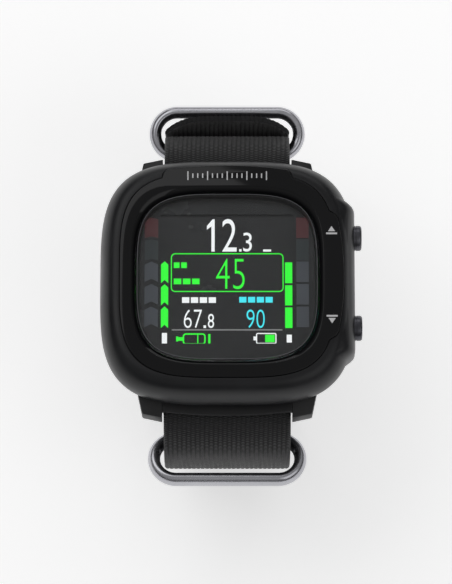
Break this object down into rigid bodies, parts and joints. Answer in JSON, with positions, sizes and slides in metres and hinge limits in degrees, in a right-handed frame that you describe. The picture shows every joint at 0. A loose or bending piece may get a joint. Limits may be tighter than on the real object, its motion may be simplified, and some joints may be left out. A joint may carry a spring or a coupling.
{
  "type": "wrist dive computer",
  "caption": "Wrist dive computer with colour display and side push buttons on a ribbed webbing strap with oval steel rings and a pin buckle.",
  "frame": {"origin": "middle of the strap loop's flat bottom, where the closed loop stands on a table", "axes": "+Z out of the display, +Y towards 12 o'clock, +X towards the push buttons"},
  "size_m": [0.0721, 0.1094, 0.084],
  "materials": {
    "satin_black": "fine satin grain",
    "housing_black": "satin",
    "gloss_black": "polished",
    "lens_tint": "polished",
    "display": "matt glass front",
    "inner_plastic": "moulded",
    "diffuser": "milky",
    "flex_film": "polyimide film",
    "board_green": "solder mask",
    "chip_black": "moulded epoxy",
    "shield_can": "tinned",
    "contact_gold": "gold plated",
    "seal_rubber": "matt",
    "seal_red": "matt",
    "foam": "closed-cell foam",
    "battery_foil": "laminate foil",
    "steel": "machined",
    "polished_steel": "polished stainless steel",
    "button_metal": "dark coated steel",
    "webbing": "ribbed woven nylon"
  },
  "bodies": {
    "case_and_strap": {"bezel_casing": "satin_black", "lower_housing": "housing_black", "back_cover": "housing_black", "face_plate": "gloss_black", "lens_window": "lens_tint", "display_panel": "display", "screen_mask": "display", "display_bracket": "inner_plastic", "upper_button_switch": "inner_plastic", "lower_button_switch": "inner_plastic", "backlight_unit": "diffuser", "display_flex": "flex_film", "main_circuit_board": "board_green", "processor_chip": "chip_black", "memory_chip": "chip_black", "wireless_module": "shield_can", "pressure_sensor": "shield_can", "buzzer": "contact_gold", "charging_contact_lower": "contact_gold", "charging_contact_upper": "contact_gold", "lens_gasket": "seal_rubber", "sensor_seal": "seal_rubber", "casing_gasket": "seal_red", "back_cover_gasket": "seal_red", "battery_foam": "foam", "battery_cell": "battery_foil", "cover_screw_upper_left": "steel", "cover_screw_upper_right": "steel", "cover_screw_lower_left": "steel", "cover_screw_lower_right": "steel", "casing_screw_upper_left": "steel", "casing_screw_upper_right": "steel", "casing_screw_lower_left": "steel", "casing_screw_lower_right": "steel", "upper_button_bush": "steel", "lower_button_bush": "steel", "upper_button_spring": "steel", "lower_button_spring": "steel", "upper_spring_bar": "steel", "lower_spring_bar": "steel", "webbing_strap": "webbing", "keeper_strap": "webbing"},
    "upper_button": {"upper_button_plunger": "button_metal", "upper_button_seal_ring": "seal_rubber", "upper_button_clip": "steel"},
    "lower_button": {"lower_button_plunger": "button_metal", "lower_button_seal_ring": "seal_rubber", "lower_button_clip": "steel"},
    "upper_oval_ring": {"upper_ring": "polished_steel"},
    "lower_oval_ring": {"lower_ring": "polished_steel"},
    "buckle": {"buckle_frame": "polished_steel"},
    "tongue": {"buckle_tongue": "polished_steel"},
    "upper_bar_tip_left_body": {"upper_bar_tip_left": "steel"},
    "upper_bar_tip_right_body": {"upper_bar_tip_right": "steel"},
    "lower_bar_tip_left_body": {"lower_bar_tip_left": "steel"},
    "lower_bar_tip_right_body": {"lower_bar_tip_right": "steel"}
  },
  "joints": [
    {"name": "upper_button_press", "type": "slide", "parent": "case_and_strap", "child": "upper_button", "axis": [-1, 0, 0], "range_m": [0, 0.001], "stiffness_N_per_m": 600, "springref_m": -0.0004, "deforming": ["upper_button_spring"]},
    {"name": "lower_button_press", "type": "slide", "parent": "case_and_strap", "child": "lower_button", "axis": [-1, 0, 0], "range_m": [0, 0.001], "stiffness_N_per_m": 600, "springref_m": -0.0004, "deforming": ["lower_button_spring"]},
    {"name": "upper_ring_swing", "type": "hinge", "parent": "case_and_strap", "child": "upper_oval_ring", "pos_m": [0, 0.0425, 0.054], "axis": [1, 0, 0], "range_deg": [-12, 3]},
    {"name": "lower_ring_swing", "type": "hinge", "parent": "case_and_strap", "child": "lower_oval_ring", "pos_m": [0, -0.0393, 0.054], "axis": [1, 0, 0], "range_deg": [-12, 10]},
    {"name": "buckle_swing", "type": "hinge", "parent": "case_and_strap", "child": "buckle", "pos_m": [0, 0.04807, 0.01743], "axis": [1, 0, 0], "range_deg": [0, 5]},
    {"name": "tongue_swing", "type": "hinge", "parent": "buckle", "child": "tongue", "pos_m": [0, 0.04807, 0.01743], "axis": [1, 0, 0], "range_deg": [0, 4.5]},
    {"name": "upper_bar_tip_left_press", "type": "slide", "parent": "case_and_strap", "child": "upper_bar_tip_left_body", "axis": [1, 0, 0], "range_m": [0, 0.0014], "stiffness_N_per_m": 400, "springref_m": -0.0003},
    {"name": "upper_bar_tip_right_press", "type": "slide", "parent": "case_and_strap", "child": "upper_bar_tip_right_body", "axis": [-1, 0, 0], "range_m": [0, 0.0014], "stiffness_N_per_m": 400, "springref_m": -0.0003},
    {"name": "lower_bar_tip_left_press", "type": "slide", "parent": "case_and_strap", "child": "lower_bar_tip_left_body", "axis": [1, 0, 0], "range_m": [0, 0.0014], "stiffness_N_per_m": 400, "springref_m": -0.0003},
    {"name": "lower_bar_tip_right_press", "type": "slide", "parent": "case_and_strap", "child": "lower_bar_tip_right_body", "axis": [-1, 0, 0], "range_m": [0, 0.0014], "stiffness_N_per_m": 400, "springref_m": -0.0003}
  ]
}
